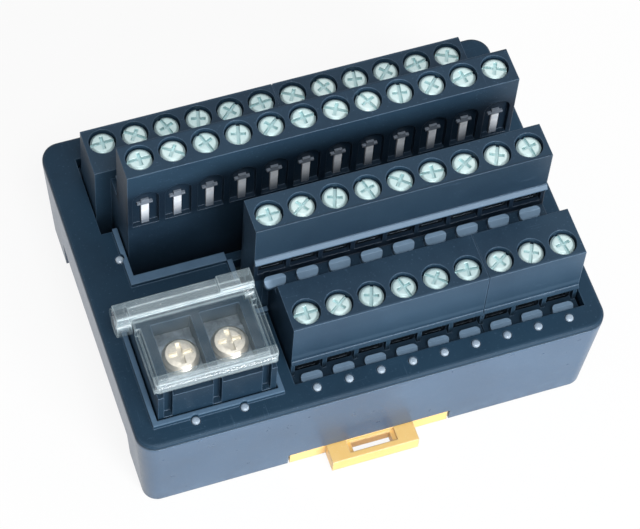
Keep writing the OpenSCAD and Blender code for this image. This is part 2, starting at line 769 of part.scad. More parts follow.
module power_terminal_block() {
    feet = -board_drop + seat_gap;
    bay_front = power_front + apron_t;
    color([0.22, 0.31, 0.39]) difference() {
        union() {
            block([power_left, power_right], [power_front, hinge_y], [feet, bay_floor]);
            block([power_left, power_right], [power_front, bay_front], [feet, apron_h]);
            for (i = [-1 : 1]) {
                x = power_x + i * power_pitch;
                block([x - barrier_t / 2, x + barrier_t / 2], [power_front, bay_back + 0.1], [0, barrier_h]);
            }
            // closed ledges outside the end barriers
            block([power_left, power_x - power_pitch], [power_front, bay_back + 0.1], [0, apron_h - 0.4]);
            block([power_x + power_pitch, power_right], [power_front, bay_back + 0.1], [0, apron_h - 0.4]);
            // hinge end
            block([power_left, right_ear_x], [bay_back, hinge_y], [0, barrier_h]);
            block([power_left, right_ear_x], [hinge_y - 0.1, power_back], [feet, hinge_z - 1]);
            at_plate(power_left, hinge_y, hinge_z) rotate([0, 90, 0])
                cylinder(r = rear_r, h = right_ear_x - power_left);
            at_plate(power_left - ear_w - slide_fit, hinge_y, hinge_z) rotate([0, 90, 0])
                cylinder(r = stub_r, h = ear_w + slide_fit + 0.5);
            at_plate(right_ear_x - 0.5, hinge_y, hinge_z) rotate([0, 90, 0])
                cylinder(r = stub_r, h = stub_w + 0.65);
        }
        // room for the right ear
        at_plate(right_ear_x, hinge_y, hinge_z) rotate([0, 90, 0]) difference() {
            cylinder(r = ear_r + slide_fit, h = 10);
            translate([0, 0, -1]) cylinder(r = stub_r, h = 1 + stub_w + 0.15);
        }
        // upright slots in the face, one at each barrier
        for (i = [-1 : 1]) {
            x = power_x + i * power_pitch;
            block([x - face_slot / 2, x + face_slot / 2], [power_front - 1, power_front + apron_t - 0.2],
                [bead_h, barrier_h + 1]);
        }
        power_poles() {
            translate([0, 0, bay_floor - power_screw_l])
                cylinder(r = power_shank_r + 0.2, h = power_screw_l + 1);
            translate([-nut_w / 2 - 0.1, -nut_w / 2 - 0.1, bay_floor - nut_h - 0.2])
                cube([nut_w + 0.2, nut_w + 0.2, nut_h + 0.6]);
        }
        for (i = [0, 1]) {
            x = pole_1 + i * power_pitch;
            block([x - 1.2, x + 1.2], [plate_back - 0.05, plate_back + power_plate_t + 0.05],
                [feet - 1, bay_floor + 0.1]);
        }
    }
}

module power_terminal_plates() {
    color(tin_tone) for (i = [0, 1]) {
        x = pole_1 + i * power_pitch;
        difference() {
            block([x - 2.9, x + 2.9], [power_front + apron_t + 0.1, plate_back + power_plate_t],
                [bay_floor + seat_gap, bay_floor + power_plate_t]);
            at_plate(x, power_screw_y) cylinder(r = power_shank_r + 0.1, h = 2 * bay_floor);
        }
        block([x - 1.1, x + 1.1], [plate_back, plate_back + power_plate_t],
            [-board_drop - board_t - tail_l, bay_floor + 0.5]);
    }
}

module power_nuts() {
    color(tin_tone) power_poles() translate([0, 0, bay_floor - nut_h - 0.1]) difference() {
        translate([-nut_w / 2, -nut_w / 2, 0]) cube([nut_w, nut_w, nut_h]);
        translate([0, 0, -1]) cylinder(r = power_shank_r + 0.05, h = nut_h + 2);
    }
}

module power_washers() {
    color(tin_tone) power_poles() translate([0, 0, bay_floor + power_plate_t + seat_gap]) difference() {
        translate([-power_washer_w / 2, -power_washer_w / 2, 0])
            cube([power_washer_w, power_washer_w, power_washer_t]);
        translate([0, 0, -1]) cylinder(r = power_shank_r + 0.1, h = power_washer_t + 2);
    }
}

module power_screws() {
    seat = bay_floor + power_plate_t + power_washer_t + 2 * seat_gap;
    top = power_head_h;
    color(tin_tone) power_poles() translate([0, 0, seat]) difference() {
        rotate_extrude() polygon([[0, -power_screw_l], [power_shank_r - 0.4, -power_screw_l],
            [power_shank_r, 0.4 - power_screw_l], [power_shank_r, 0], [power_head_r, 0],
            [power_head_r, top * 0.58], [power_head_r * 0.82, top * 0.9],
            [power_head_r * 0.57, top], [0, top]]);
        translate([0, 0, top / 2]) cross_recess(power_head_r * 1.3, 0.8, top);
    }
}

module cover_ear(x0, x1) {
    at_plate(x0, hinge_y, hinge_z) rotate([0, 90, 0]) cylinder(r = ear_r, h = x1 - x0);
    block([x0, x1], [hinge_y - ear_r * 0.7, hinge_y + rail_back], [hinge_z, cover_z + 0.1]);
}

module power_cover() {
    left = power_x - cover_w / 2;
    right = power_x + cover_w / 2;
    front = power_front;
    back = hinge_y + rail_back;
    ear_left = power_left - slide_fit - ear_w;
    skirt = apron_h + 0.2;
    skirt_back = bay_back - 0.6;
    nose_r = (cover_t + lip_drop + 0.2) / 2;
    corner_x = cover_w / 2 - cover_r;
    color([0.8, 0.88, 0.92, 0.4]) difference() {
        union() {
            block([left, right], [front + 0.3, back], [cover_z, cover_z + cover_t]);
            // thick front lip, with a rounded nose
            block([left, right], [front + 0.3, front + lip_d], [cover_z - lip_drop, cover_z + cover_t + 0.2]);
            at_plate(left, front + nose_r - nose_out, cover_z + (cover_t - lip_drop + 0.2) / 2)
                rotate([0, 90, 0]) cylinder(r = nose_r, h = cover_w);
            // side skirts, shorter than the end ledges below them
            block([left, left + side_w], [front + 0.9, skirt_back], [skirt, cover_z + 0.1]);
            block([right - side_w, right], [front + 0.9, skirt_back], [skirt, cover_z + 0.1]);
            // hinge rail, with a raised pad at its right
            block([ear_left, right], [back - rail_d, back], [cover_z, cover_z + cover_t + 0.5]);
            block([power_x + 4.2, right], [back - rail_d + 0.3, back],
                [cover_z + cover_t, cover_z + cover_t + 1.1]);
            cover_ear(ear_left, power_left - slide_fit);
            cover_ear(right_ear_x + slide_fit, right);
        }
        // rounded front corners
        for (side = [-1, 1])
            at_plate(power_x + side * corner_x, front - nose_out + cover_r, cover_z - cover_t)
                difference() {
                    translate([(side - 1) * cover_r, -2 * cover_r, 0])
                        cube([2 * cover_r, 2 * cover_r, 3 * cover_t]);
                    translate([0, 0, -1]) cylinder(r = cover_r, h = 3 * cover_t + 2);
                }
        at_plate(ear_left - 1, hinge_y, hinge_z) rotate([0, 90, 0])
            cylinder(r = stub_r + hinge_fit, h = ear_w + 1.5);
        at_plate(right_ear_x, hinge_y, hinge_z) rotate([0, 90, 0])
            cylinder(r = stub_r + hinge_fit, h = 4);
    }
}

// ---- Rail clip ----

module din_clip() {
    front = -half_d + draft;
    body_y = front + clip_bar_d;
    tip = -rail_w / 2 + hook_reach - 0.2;
    jaw_back = -rail_w / 2 - 0.9;
    jaw_top = base_z + rail_recess - rail_flange - 0.3;
    runner_z = base_z + lip_t + 0.1;
    color([0.97, 0.8, 0.45]) difference() {
        union() {
            translate([-clip_w / 2, front, base_z]) cube([clip_w, clip_bar_d, clip_t]);
            translate([-clip_body_w / 2, body_y - 0.1, base_z])
                cube([clip_body_w, tip - body_y + 0.1, clip_t]);
            translate([-runner_w / 2, body_y - 0.1, runner_z])
                cube([runner_w, -rail_w / 2 - 1.2 - body_y, base_z + clip_t - runner_z]);
            // jaw with a ramp for snapping onto the rail
            translate([-clip_body_w / 2, 0, 0]) rotate([90, 0, 90]) linear_extrude(clip_body_w)
                polygon([[jaw_back, base_z + clip_t - 0.1], [tip, base_z + clip_t - 0.1],
                    [tip, jaw_top - 0.8], [tip - 0.5, jaw_top], [jaw_back, jaw_top]]);
            translate([-tab_w / 2, front - tab_out, base_z]) cube([tab_w, tab_out + 0.1, clip_t]);
        }
        // driver slot in the tab, wider above
        translate([-driver_w / 2, front - tab_out + 1.3, base_z - 1])
            cube([driver_w, driver_d, clip_t + 2]);
        translate([-driver_w / 2 - 0.7, front - tab_out + 1, base_z + clip_t - 0.7])
            cube([driver_w + 1.4, driver_d + 0.6, 1]);
    }
}

// ---- Indicators ----

// One moulding: a bar under the plate, a tip for each terminal and a leg down to each lamp
module light_pipes(x, count, step) {
    bar_top = -lid_t - 0.05;
    bar_z = bar_top - pipe_bar_t;
    foot = -board_drop + led_h + 0.2;
    last = x + (count - 1) * step;
    block([x - 1, last + 1], [lens_y - lens_r + 0.1, lens_y + pipe_back + 0.55], [bar_z, bar_top]);
    for (i = [0 : count - 1]) {
        at_plate(x + i * step, lens_y, bar_top - 0.1) lens_tip(0.1 - bar_top);
        at_plate(x + i * step, lens_y + pipe_back, foot)
            cylinder(r = pipe_leg_r, h = bar_z - foot + 0.1, $fn = 20);
    }
}

module lens_tip(h) {
    rotate_extrude($fn = 28) polygon([[0, 0], [lens_r, 0], [lens_r, h],
        [lens_r * 0.92, h + lens_up * 0.5], [lens_r * 0.6, h + lens_up * 0.9], [0, h + lens_up]]);
}

module front_light_pipes() {
    color(pipe_tone) light_pipes(front_lower_x, front_poles, pitch);
}
module rear_light_pipes() {
    color(pipe_tone) rear_side() light_pipes(rear_lower_x, rear_poles, pitch);
}
module power_light_pipes() {
    color(pipe_tone) light_pipes(pole_1, 2, power_pitch);
}
module power_lamp_pipe() {
    stem = board_drop - led_h - 0.2;
    color(pipe_tone) at_plate(lamp_x, half_d + lamp_back, -stem) union() {
        lens_tip(stem);
        translate([0, 0, stem - lid_t - pipe_bar_t]) cylinder(r = lens_r + 0.5, h = pipe_bar_t - 0.05);
    }
}

module indicator_leds() {
    color([0.9, 0.9, 0.82]) {
        led_row(front_lower_x, front_poles, pitch);
        rear_side() led_row(rear_lower_x, rear_poles, pitch);
        led_row(pole_1, 2, power_pitch);
        at_plate(lamp_x, half_d + lamp_back, -board_drop + seat_gap) led();
    }
}

module led_row(x, count, step) {
    for (i = [0 : count - 1])
        at_plate(x + i * step, lens_y + pipe_back, -board_drop + seat_gap) led();
}

module led() {
    translate([-led_w / 2, -led_d / 2, 0]) cube([led_w, led_d, led_h]);
}

lower_case();
upper_case();
circuit_board();
board_screws();
rear_terminal_block();
rear_lower_screws();
rear_upper_screws();
rear_lower_clamps();
rear_upper_clamps();
rear_lower_contacts();
rear_upper_contacts();
front_terminal_block();
front_upper_screws();
front_lower_screws();
front_upper_clamps();
front_lower_clamps();
front_upper_contacts();
front_lower_contacts();
power_terminal_block();
power_terminal_plates();
power_nuts();
power_washers();
power_screws();
power_cover();
din_clip();
front_light_pipes();
rear_light_pipes();
power_light_pipes();
power_lamp_pipe();
indicator_leds();
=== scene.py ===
import math

import bpy
from mathutils import Matrix, Vector


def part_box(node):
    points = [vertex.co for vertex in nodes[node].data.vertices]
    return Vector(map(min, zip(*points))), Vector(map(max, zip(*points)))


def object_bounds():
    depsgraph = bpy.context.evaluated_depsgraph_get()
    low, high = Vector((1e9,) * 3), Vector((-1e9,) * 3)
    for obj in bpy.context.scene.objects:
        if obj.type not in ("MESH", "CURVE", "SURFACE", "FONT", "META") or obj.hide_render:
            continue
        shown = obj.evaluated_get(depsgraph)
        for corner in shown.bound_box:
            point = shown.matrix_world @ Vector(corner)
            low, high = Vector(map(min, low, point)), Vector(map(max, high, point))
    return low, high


print("loading the terminal strip")
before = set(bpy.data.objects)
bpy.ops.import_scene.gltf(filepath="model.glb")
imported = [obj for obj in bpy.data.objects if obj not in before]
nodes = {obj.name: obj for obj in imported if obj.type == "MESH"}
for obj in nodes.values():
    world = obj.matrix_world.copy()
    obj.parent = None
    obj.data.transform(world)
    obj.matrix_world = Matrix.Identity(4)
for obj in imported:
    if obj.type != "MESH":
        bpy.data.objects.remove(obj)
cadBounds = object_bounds()
lensUp = 0.00035                                # how far the light pipes stand out of the plate
plateTop = (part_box("front_light_pipes")[1].z - lensUp) * 1000       # in millimetres
floorZ = cadBounds[0][2]


class Wire:                                     # one shader output, so that maths reads as maths
    def __init__(self, finish, socket):
        self.finish = finish
        self.socket = socket

    def maths(self, operation, first, second=None, clamp=False):
        settings = {"operation": operation, "use_clamp": clamp}
        return self.finish.add("ShaderNodeMath", settings, {0: first, 1: second})

    def __add__(self, other): return self.maths("ADD", self, other)
    def __radd__(self, other): return self.maths("ADD", other, self)
    def __sub__(self, other): return self.maths("SUBTRACT", self, other)
    def __rsub__(self, other): return self.maths("SUBTRACT", other, self)
    def __mul__(self, other): return self.maths("MULTIPLY", self, other)
    def __rmul__(self, other): return self.maths("MULTIPLY", other, self)
    def __truediv__(self, other): return self.maths("DIVIDE", self, other)
    def __rtruediv__(self, other): return self.maths("DIVIDE", other, self)
    def __pow__(self, other): return self.maths("POWER", self, other)
    def __gt__(self, other): return self.maths("GREATER_THAN", self, other)
    def __lt__(self, other): return self.maths("LESS_THAN", self, other)
    def wave(self): return self.maths("SINE", self)
    def size(self): return self.maths("ABSOLUTE", self)
    def root(self): return self.maths("SQRT", self)
    def cap(self): return self.maths("ADD", self, 0.0, clamp=True)

    def ramp(self, low, high):                  # 0 below low, 1 above high
        return self.finish.add("ShaderNodeMapRange", {"clamp": True},
                               {0: self, 1: low, 2: high, 3: 0.0, 4: 1.0})

    def band(self, low, high, soft=0.1):        # 1 between low and high
        return self.ramp(low - soft, low + soft) * (1 - self.ramp(high - soft, high + soft))


class Finish:
    def __init__(self, name):
        self.material = bpy.data.materials.new(name)
        self.material.use_nodes = True
        self.tree = self.material.node_tree
        self.tree.nodes.clear()

    def add(self, kind, settings=None, inputs=None, output=0):
        node = self.tree.nodes.new(kind)
        for key, value in (settings or {}).items():
            setattr(node, key, value)
        for key, value in (inputs or {}).items():
            if isinstance(value, Wire):
                self.tree.links.new(value.socket, node.inputs[key])
            elif value is not None:
                node.inputs[key].default_value = value
        return Wire(self, node.outputs[output])

    def blend(self, factor, first, second):
        settings = {"data_type": "RGBA"}
        return self.add("ShaderNodeMix", settings, {0: factor, 6: rgba(first), 7: rgba(second)}, 2)

    def millimetres(self):                      # where on the part, in millimetres
        place = self.add("ShaderNodeTexCoord", output="Object")
        return self.add("ShaderNodeVectorMath", {"operation": "SCALE"}, {0: place, 3: 1000.0})

    def stretched(self, place, scale):
        return self.add("ShaderNodeVectorMath", {"operation": "MULTIPLY"}, {0: place, 1: scale})

    def axis(self, place, which):
        return self.add("ShaderNodeSeparateXYZ", {}, {0: place}, which)

    def noise(self, place, scale, detail=2.0, rough=0.5):
        return self.add("ShaderNodeTexNoise", {"noise_dimensions": "3D"},
                        {"Vector": place, "Scale": scale, "Detail": detail, "Roughness": rough})

    def softEdges(self, radius):                # rounded edges, and where they are
        soft = self.add("ShaderNodeBevel", {"samples": 5}, {"Radius": radius})
        flat = self.add("ShaderNodeNewGeometry", output="Normal")
        facing = self.add("ShaderNodeVectorMath", {"operation": "DOT_PRODUCT"}, {0: soft, 1: flat}, 1)
        return soft, (1 - facing).ramp(0.006, 0.16)

    def output(self, shader, kind="ShaderNodeOutputMaterial"):
        end = self.tree.nodes.new(kind)
        self.tree.links.new(shader.socket, end.inputs[0])
        return self.material


def rgba(value):
    if isinstance(value, Wire):
        return value
    return (value[0], value[1], value[2], 1.0)


def srgb(red, green, blue):                     # a screen colour as the linear one that shaders use
    def one(v):
        v = v / 255
        return v / 12.92 if v <= 0.04045 else ((v + 0.055) / 1.055) ** 2.4
    return (one(red), one(green), one(blue))


# painted light on the terminal rows: painted highlights on the guides and ledges, a lighter lower front
# wall, and painted shade under the ledges, on the tower, at the inboard arches and on faces that look to
# -x
def terminalPaintedLight(f, mm, cloud, colour, look):
    out = f.axis(mm, 1).size()
    up = f.axis(mm, 2) - plateTop

    def zone(name, soft=0.1):
        near, far, low, high = look["zones"][name]
        return out.band(look["foot"] - far, look["foot"] - near) * up.band(low, high, soft)

    # painted highlight: the wire guides are made pale
    guides = zone("lowGuides", 0.2) + zone("highGuides", 0.2)
    colour = f.blend((guides * (0.6 + cloud * 0.4)).cap(), colour, look["paintedHighlight"])
    # painted light: the lower front walls are made a little lighter
    near, far = look["paintedFrontLight"]
    paintedFrontLight = out.band(look["foot"] - far, look["foot"] - near) * up.ramp(2.0, 8.0)
    colour = f.blend(paintedFrontLight * 0.12, colour, look["wearAndHighlight"])
    # painted shade: under the ledges, on the tower wall and at the inboard arches
    near, far = look["tower"]
    tower = out.band(look["foot"] - far, look["foot"] - near) * up.ramp(13.0, 14.0)
    inboard = 1 - out.ramp(look["foot"] - look["inboard"] - 0.1, look["foot"] - look["inboard"] + 0.1)
    arches = inboard * (up.band(9.0, 17.5, 1.0) * 0.35 + (1 - up.ramp(17.0, 20.0)) * 0.35)
    colour = f.blend((zone("underLedge") * 0.75 + tower * 0.25 + arches).cap(), colour, look["paintedShade"])
    # painted shade: faces that look to -x are darkened
    leftEnds = 1 - f.axis(f.add("ShaderNodeNewGeometry", output="Normal"), 0).ramp(-0.95, -0.8)
    colour = f.blend(leftEnds * 0.4, colour, look["paintedShade"])
    # painted highlight: the ledges are made pale
    return f.blend(zone("ledges") * 0.4 + zone("lowLedges") * 0.3, colour, look["paintedHighlight"])


def mouldedPlastic(name, look):
    f = Finish(name)
    mm = f.millimetres()
    soft, edge = f.softEdges(look["edgeRadius"])
    # slow drift of the pigment, a cloudier one, and the fine texture of the mould
    drift = f.noise(mm, 0.05, 3.0)
    cloud = f.noise(mm, 0.45, 4.0, 0.6)
    grain = f.noise(mm, look["grainScale"], 3.0, 0.65)
    speck = f.noise(mm, 3.2, 2.0).ramp(0.66, 0.74)
    # handling marks: long thin streaks in two directions
    streakA = f.noise(f.stretched(mm, (0.16, 5.5, 1.2)), 1.0, 3.0, 0.6).ramp(0.63, 0.7)
    streakB = f.noise(f.stretched(mm, (4.6, 0.2, 1.0)), 1.0, 2.0, 0.6).ramp(0.65, 0.72)
    scuff = ((streakA + streakB) * f.noise(mm, 0.12, 1.0).ramp(0.5, 0.62)).cap()
    colour = f.blend(drift.ramp(0.3, 0.7), look["dark"], look["light"])
    colour = f.blend(cloud.ramp(0.35, 0.75) * 0.35, colour, look["light"])
    colour = f.blend(scuff * look["scuff"], colour, look["wearAndHighlight"])
    # edges made lighter: partly wear, partly a painted highlight
    colour = f.blend(edge * look["edgeWearAndHighlight"], colour, look["wearAndHighlight"])
    colour = f.blend(speck * 0.25, colour, look["wearAndHighlight"])
    if "paintedShade" in look:                          # painted shade: what lies below the plate is darkened
        sunk = 1 - f.axis(mm, 2).ramp(plateTop - look["reach"], plateTop - 0.4)
        colour = f.blend(sunk * 0.55, colour, look["paintedShade"])
    if "beadTop" in look:                       # painted highlight: the tops of the raised beads are made pale
        beadTop = plateTop + look["beadTop"]
        paintedHighlight = f.axis(mm, 2).ramp(beadTop - 0.35, beadTop - 0.05)
        colour = f.blend(paintedHighlight * (0.55 + cloud * 0.4).cap(), colour, look["wearAndHighlight"])
    if "foot" in look:
        colour = terminalPaintedLight(f, mm, cloud, colour, look)
    if "paleBelow" in look:                          # paler towards the bottom, in patches
        low = 1 - f.axis(mm, 2).ramp(look["paleBelow"][0], look["paleBelow"][1])
        colour = f.blend(low * cloud.ramp(0.4, 0.8) * 0.2, colour, look["wearAndHighlight"])
    rough = look["rough"] + (cloud - 0.5) * 0.14 + scuff * 0.1 - edge * 0.08
    height = grain * look["grain"] - scuff * 0.12 + cloud * 0.25
    bump = f.add("ShaderNodeBump", {}, {"Strength": look["bump"], "Distance": 0.00006,
                                       "Height": height, "Normal": soft})
    shader = f.add("ShaderNodeBsdfPrincipled", {}, {
        "Base Color": colour, "Roughness": rough, "Normal": bump, "IOR": 1.52,
        "Specular IOR Level": look["gloss"]})
    return f.output(shader)


def platedMetal(name, look):
    f = Finish(name)
    mm = f.millimetres()
    soft, edge = f.softEdges(0.00008)
    cloud = f.noise(mm, 0.9, 3.0, 0.6)
    fine = f.noise(mm, 14.0, 2.0)
    brushed = f.noise(f.stretched(mm, look["brush"]), 1.0, 2.0, 0.6)
    colour = f.blend(cloud.ramp(0.3, 0.7), look["dark"], look["light"])
    colour = f.blend(edge * 0.5, colour, look["light"])
    colour = f.blend(f.noise(mm, 1.2, 3.0, 0.6).ramp(0.6, 0.78) * 0.3, colour, look["tarnish"])
    if "shadeBelow" in look:                     # painted shade: the contacts are darkened below, and at their heads under the arches, so they stay bright only near the top
        z = f.axis(mm, 2)
        shaded = 1 - z.ramp(look["shadeBelow"] - 1.5, look["shadeBelow"] + 1.5)
        head = z.ramp(look["shadeAbove"] - 0.1, look["shadeAbove"] + 0.1)
        colour = f.blend((shaded + head).cap() * 0.85, colour, look["shaded"])
    rough = look["rough"] + (brushed - 0.5) * 0.2 + (cloud - 0.5) * 0.12
    bump = f.add("ShaderNodeBump", {}, {"Strength": 0.3, "Distance": 0.00003,
                                       "Height": brushed + fine * 0.4, "Normal": soft})
    shader = f.add("ShaderNodeBsdfPrincipled", {}, {
        "Base Color": colour, "Metallic": look["metal"], "Roughness": rough, "Normal": bump})
    return f.output(shader)


# screw heads in a row: turned rings round each head's own axis, and grime in the slots
def screwMetal(name, row, look):
    f = Finish(name)
    low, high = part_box(row)
    headR = look["headRadius"]
    count = look["count"]
    pitch = ((high.x - low.x) * 1000 - 2 * headR) / (count - 1)
    firstX = low.x * 1000 + headR
    middleY = (low.y + high.y) * 500
    topZ = high.z * 1000
    mm = f.millimetres()
    along = (f.axis(mm, 0) - (firstX - pitch * 8.5)) / pitch
    turn = along.maths("FRACT", along)
    number = along - turn
    x = (turn - 0.5) * pitch
    y = f.axis(mm, 1) - middleY
    r = (x * x + y * y).root()
    soft, edge = f.softEdges(0.00009)
    cloud = f.noise(mm, 1.1, 3.0, 0.6)
    rings = (r * 42.0).wave()
    depth = topZ - f.axis(mm, 2)
    slot = depth.ramp(look["slotFrom"], look["slotFrom"] + 0.15) * (r < headR * 0.93)
    # every screw was plated and tightened a little differently
    each = (number * 12.9898).wave() * 43.758
    each = each.maths("FRACT", each)
    colour = f.blend(each * 0.6 + cloud * 0.4, look["dark"], look["light"])
    colour = f.blend((r / headR).ramp(0.72, 0.96) * 0.45, colour, look["rim"])
    colour = f.blend(slot * look["grime"], colour, look["tarnish"])
    colour = f.blend(edge * 0.5, colour, look["light"])
    marks = f.noise(f.stretched(mm, (7.0, 1.4, 1.0)), 1.0, 3.0, 0.6).ramp(0.6, 0.68)
    colour = f.blend(marks * 0.25, colour, look["tarnish"])
    rough = look["rough"] + (cloud - 0.5) * 0.14 + slot * 0.2 + marks * 0.08
    bump = f.add("ShaderNodeBump", {}, {"Strength": 0.35, "Distance": 0.00003,
                                       "Height": rings * 0.5 - marks * 0.4, "Normal": soft})
    shader = f.add("ShaderNodeBsdfPrincipled", {}, {
        "Base Color": colour, "Metallic": 0.45, "Roughness": rough, "Normal": bump})
    return f.output(shader)


def clearPlastic(name, look):
    f = Finish(name)
    mm = f.millimetres()
    soft, edge = f.softEdges(look["edgeRadius"])
    cloud = f.noise(mm, 0.35, 3.0)
    flow = f.noise(f.stretched(mm, (0.25, 1.4, 1.0)), 1.0, 2.0)
    hair = f.noise(f.stretched(mm, (0.5, 9.0, 1.0)), 1.0, 2.0, 0.6).ramp(0.64, 0.69)
    hair = hair * f.noise(mm, 0.4, 1.0).ramp(0.45, 0.6)
    colour = f.blend(cloud.ramp(0.3, 0.7), look["dark"], look["light"])
    veil = look["veil"]
    if "part" in look:                          # painted highlight: the thick lip and the rail are made paler and more opaque, with a brighter line at the rail's front
        low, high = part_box(look["part"])
        y = f.axis(mm, 1)
        lip = 1 - y.ramp(low.y * 1000 + look["lip"] - 0.25, low.y * 1000 + look["lip"] + 0.1)
        railFront = high.y * 1000 - look["rail"]
        rail = y.band(railFront, railFront + look["railDepth"], 0.15)
        bright = y.band(railFront - 0.1, railFront + 0.35)
        veil = veil + lip * look["lipHighlight"] + rail * look["railHighlight"] + bright * 0.25
        colour = f.blend((lip + rail).cap() * 0.7, colour, look["light"])
    # painted highlight: the edges are made more opaque
    alpha = (veil + edge * look["edgeHighlight"] + hair * 0.12 + (cloud - 0.5) * 0.08).cap()
    rough = look["rough"] + hair * 0.2 + (cloud - 0.5) * 0.05
    bump = f.add("ShaderNodeBump", {}, {"Strength": 0.25, "Distance": 0.00008,
                                       "Height": flow + hair * 0.2, "Normal": soft})
    shader = f.add("ShaderNodeBsdfPrincipled", {}, {
        "Base Color": colour, "Roughness": rough, "Normal": bump, "Alpha": alpha, "IOR": 1.58,
        "Specular IOR Level": 0.9, "Coat Weight": 0.4, "Coat Roughness": 0.05})
    return f.output(shader)


def circuitBoard(name, look):
    f = Finish(name)
    mm = f.millimetres()
    x = f.axis(mm, 0) / look["pitch"] + 0.1
    track = ((x.maths("FRACT", x) - 0.5).size() < 0.12) * f.noise(mm, 0.08, 0.0).ramp(0.42, 0.46)
    weave = f.noise(f.stretched(mm, (3.0, 3.0, 1.0)), 1.0, 2.0)
    colour = f.blend(track * 0.7, look["mask"], look["track"])
    colour = f.blend(weave * 0.25, colour, look["dark"])
    bump = f.add("ShaderNodeBump", {}, {"Strength": 0.3, "Distance": 0.00004,
                                       "Height": track + weave * 0.3})
    shader = f.add("ShaderNodeBsdfPrincipled", {}, {
        "Base Color": colour, "Roughness": 0.34 + weave * 0.12, "Normal": bump, "Coat Weight": 0.2})
    return f.output(shader)


print("mixing the plastics")

caseLook = {"dark": srgb(46, 75, 103), "light": srgb(61, 92, 122), "wearAndHighlight": srgb(134, 158, 180),
            "edgeRadius": 0.0004, "edgeWearAndHighlight": 0.45, "grainScale": 7.0, "grain": 0.8, "bump": 0.35,
            "rough": 0.3, "gloss": 0.5, "scuff": 0.18, "paleBelow": (-6.0, -2.0)}
plateLook = {"dark": srgb(22, 44, 62), "light": srgb(32, 58, 78), "wearAndHighlight": srgb(92, 120, 146),
             "edgeRadius": 0.0003, "edgeWearAndHighlight": 0.55, "grainScale": 8.0, "grain": 0.9, "bump": 0.35,
             "rough": 0.48, "gloss": 0.16, "scuff": 0.2, "paintedShade": srgb(8, 16, 28), "reach": 3.0,
             "beadTop": 0.8}
blockLook = {"dark": srgb(30, 50, 68), "light": srgb(42, 65, 84), "wearAndHighlight": srgb(108, 136, 164),
             "edgeRadius": 0.0002, "edgeWearAndHighlight": 0.55, "grainScale": 9.0, "grain": 0.7, "bump": 0.3,
             "rough": 0.4, "gloss": 0.2, "scuff": 0.16, "paintedShade": srgb(7, 14, 26), "reach": 4.0}
powerLook = dict(blockLook, dark=srgb(20, 38, 54), light=srgb(30, 52, 70))
# places on the terminal rows in millimetres: in from the block's foot, then up from the plate
rowZones = {"lowGuides": (-0.1, 1.6, -2.0, 0.1), "highGuides": (11.3, 12.9, 9.7, 11.2),
            "underLedge": (13.55, 14.9, 8.8, 13.9), "ledges": (13.0, 13.65, 14.2, 15.1),
            "lowLedges": (2.0, 2.35, 2.9, 3.8)}
rowLook = dict(blockLook, paintedHighlight=srgb(128, 156, 182), zones=rowZones, paintedFrontLight=(2.1, 2.7),
               tower=(13.4, 14.0), inboard=18.6, foot=-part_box("front_terminal_block")[0].y * 1000)
clipLook = {"dark": srgb(236, 192, 112), "light": srgb(246, 210, 142), "wearAndHighlight": srgb(252, 234, 196),
            "edgeRadius": 0.0003, "edgeWearAndHighlight": 0.5, "grainScale": 5.0, "grain": 0.4, "bump": 0.25,
            "rough": 0.34, "gloss": 0.5, "scuff": 0.15}

blockPlastic = mouldedPlastic("terminal_block_plastic", rowLook)
casePlastic = mouldedPlastic("case_plastic", caseLook)
platePlastic = mouldedPlastic("cover_plate_plastic", plateLook)
powerPlastic = mouldedPlastic("power_block_plastic", powerLook)
clipPlastic = mouldedPlastic("rail_clip_plastic", clipLook)

print("mixing the metals and the clear plastics")

tinLook = {"dark": srgb(196, 208, 220), "light": srgb(232, 240, 246), "tarnish": srgb(140, 154, 168),
           "rough": 0.42, "brush": (2.0, 2.0, 9.0), "metal": 0.4}
# the contacts are a lighter, less metallic copy of the tin: a painted highlight
contactLook = dict(tinLook, light=srgb(246, 250, 255), dark=srgb(224, 234, 244), metal=0.1,
                   shadeBelow=plateTop + 11.0, shadeAbove=plateTop + 14.1, shaded=srgb(70, 86, 104))
clampLook = dict(tinLook, dark=srgb(50, 60, 70), light=srgb(84, 96, 108), metal=1.0)
# painted shade: the power plates and washers are a darker copy of the tin, partly tarnish, partly shade
plateMetalLook = dict(tinLook, dark=srgb(96, 108, 120), light=srgb(138, 150, 160), metal=0.9)
steelLook = {"dark": srgb(206, 200, 186), "light": srgb(238, 232, 218), "tarnish": srgb(150, 144, 132),
             "rough": 0.34, "brush": (6.0, 1.5, 1.5), "metal": 0.75}
screwLook = {"dark": srgb(194, 222, 224), "light": srgb(222, 242, 242), "rim": srgb(172, 204, 208),
             "tarnish": srgb(150, 180, 188), "grime": 0.25, "rough": 0.45, "headRadius": 1.9,
             "slotFrom": 0.42}
coverLook = {"dark": srgb(158, 188, 200), "light": srgb(208, 228, 236), "edgeRadius": 0.0005,
             "veil": 0.05, "edgeHighlight": 0.48, "rough": 0.1, "part": "power_cover",
             "lip": 2.2, "lipHighlight": 0.19, "rail": 4.3, "railDepth": 2.8, "railHighlight": 0.14}
lensLook = {"dark": srgb(142, 162, 182), "light": srgb(176, 194, 210), "edgeRadius": 0.0001,
            "veil": 0.9, "edgeHighlight": 0.1, "rough": 0.35}
boardLook = {"mask": srgb(40, 64, 76), "track": srgb(58, 88, 98), "dark": srgb(26, 44, 56), "pitch": 5.08}

tinPlate = platedMetal("tin_plated_contact", contactLook)
clampMetal = platedMetal("wire_clamp_metal", clampLook)
plateMetal = platedMetal("terminal_plate_metal", plateMetalLook)
zincSteel = platedMetal("zinc_plated_steel", steelLook)
clearCover = clearPlastic("clear_cover_plastic", coverLook)
lensPlastic = clearPlastic("light_pipe_plastic", lensLook)
boardLaminate = circuitBoard("circuit_board_laminate", boardLook)


def coat(name, material):
    slots = nodes[name].material_slots
    if not slots:
        nodes[name].data.materials.append(material)
    for slot in slots:
        slot.material = material


